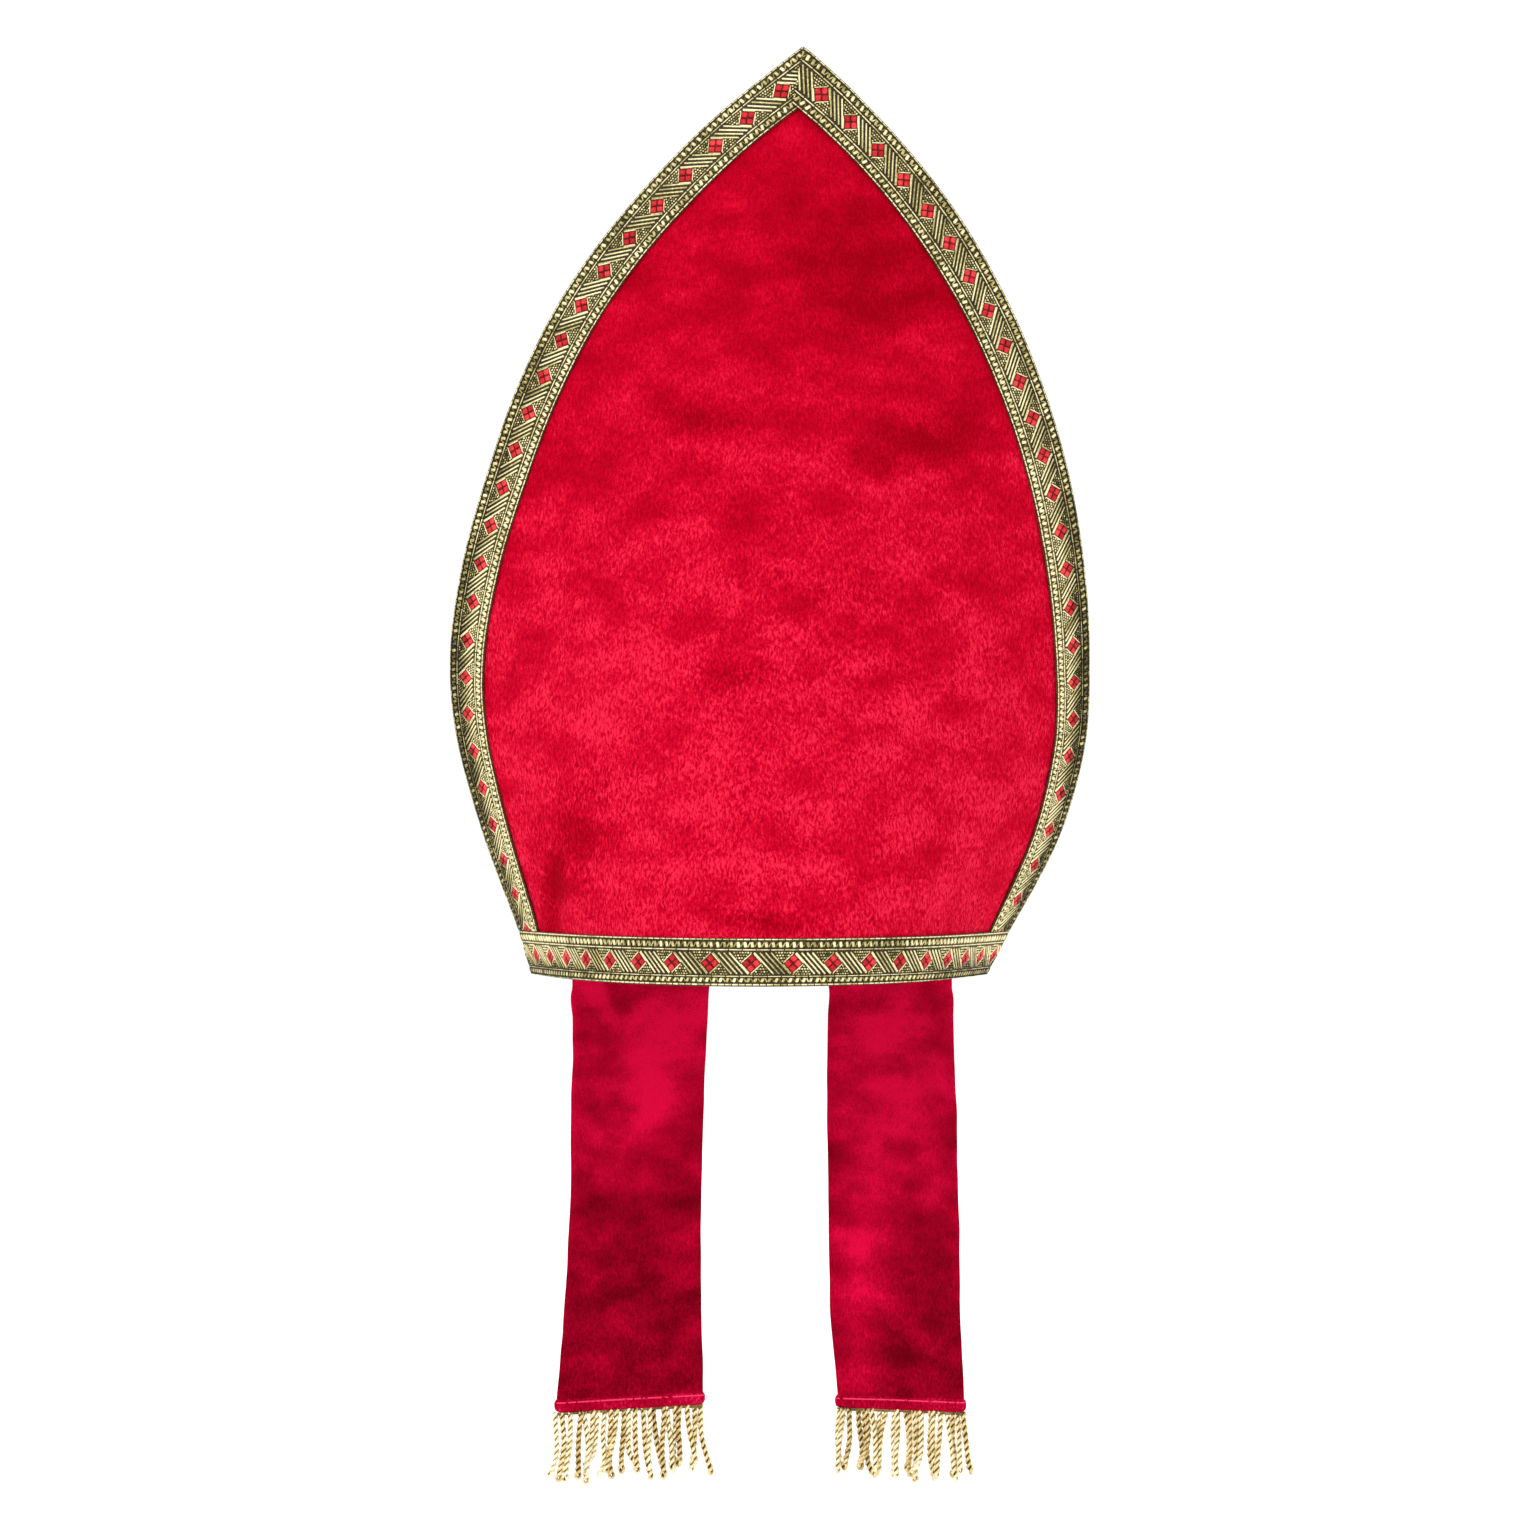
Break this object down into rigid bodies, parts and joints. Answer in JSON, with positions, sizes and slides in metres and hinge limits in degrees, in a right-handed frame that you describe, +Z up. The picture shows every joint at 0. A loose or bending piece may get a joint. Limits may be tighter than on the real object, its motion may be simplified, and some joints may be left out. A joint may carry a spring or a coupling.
{
  "type": "bishop mitre",
  "caption": "Tall two-peaked ceremonial hat of red crushed plush with black and gold diamond braid edges, an open head hollow and fringed lappets at the back.",
  "frame": {"origin": "middle of the rim's opening, where the hat sits on a head", "axes": "+Z up the crown, +X to the wearer's left, -Y to the front"},
  "size_m": [0.2705, 0.207, 0.6093],
  "materials": {
    "red_plush": "crushed plush with a short pile",
    "lappet_plush": "crushed plush, darker than the crown",
    "hem_plush": "folded plush with brighter pile",
    "valley_cloth": "plain red cloth",
    "gold_braid": "woven metallic gold thread on black with red diamonds",
    "gold_bullion": "twisted pale gold cord"
  },
  "bodies": {
    "root": {"front_shield": "red_plush", "back_shield": "red_plush", "crown_valley": "valley_cloth", "front_edge_braid": "gold_braid", "back_edge_braid": "gold_braid", "front_rim_band": "gold_braid", "back_rim_band": "gold_braid", "right_lappet": "lappet_plush", "left_lappet": "lappet_plush", "right_lappet_hem": "hem_plush", "left_lappet_hem": "hem_plush", "right_fringe": "gold_bullion", "left_fringe": "gold_bullion"}
  },
  "joints": []
}
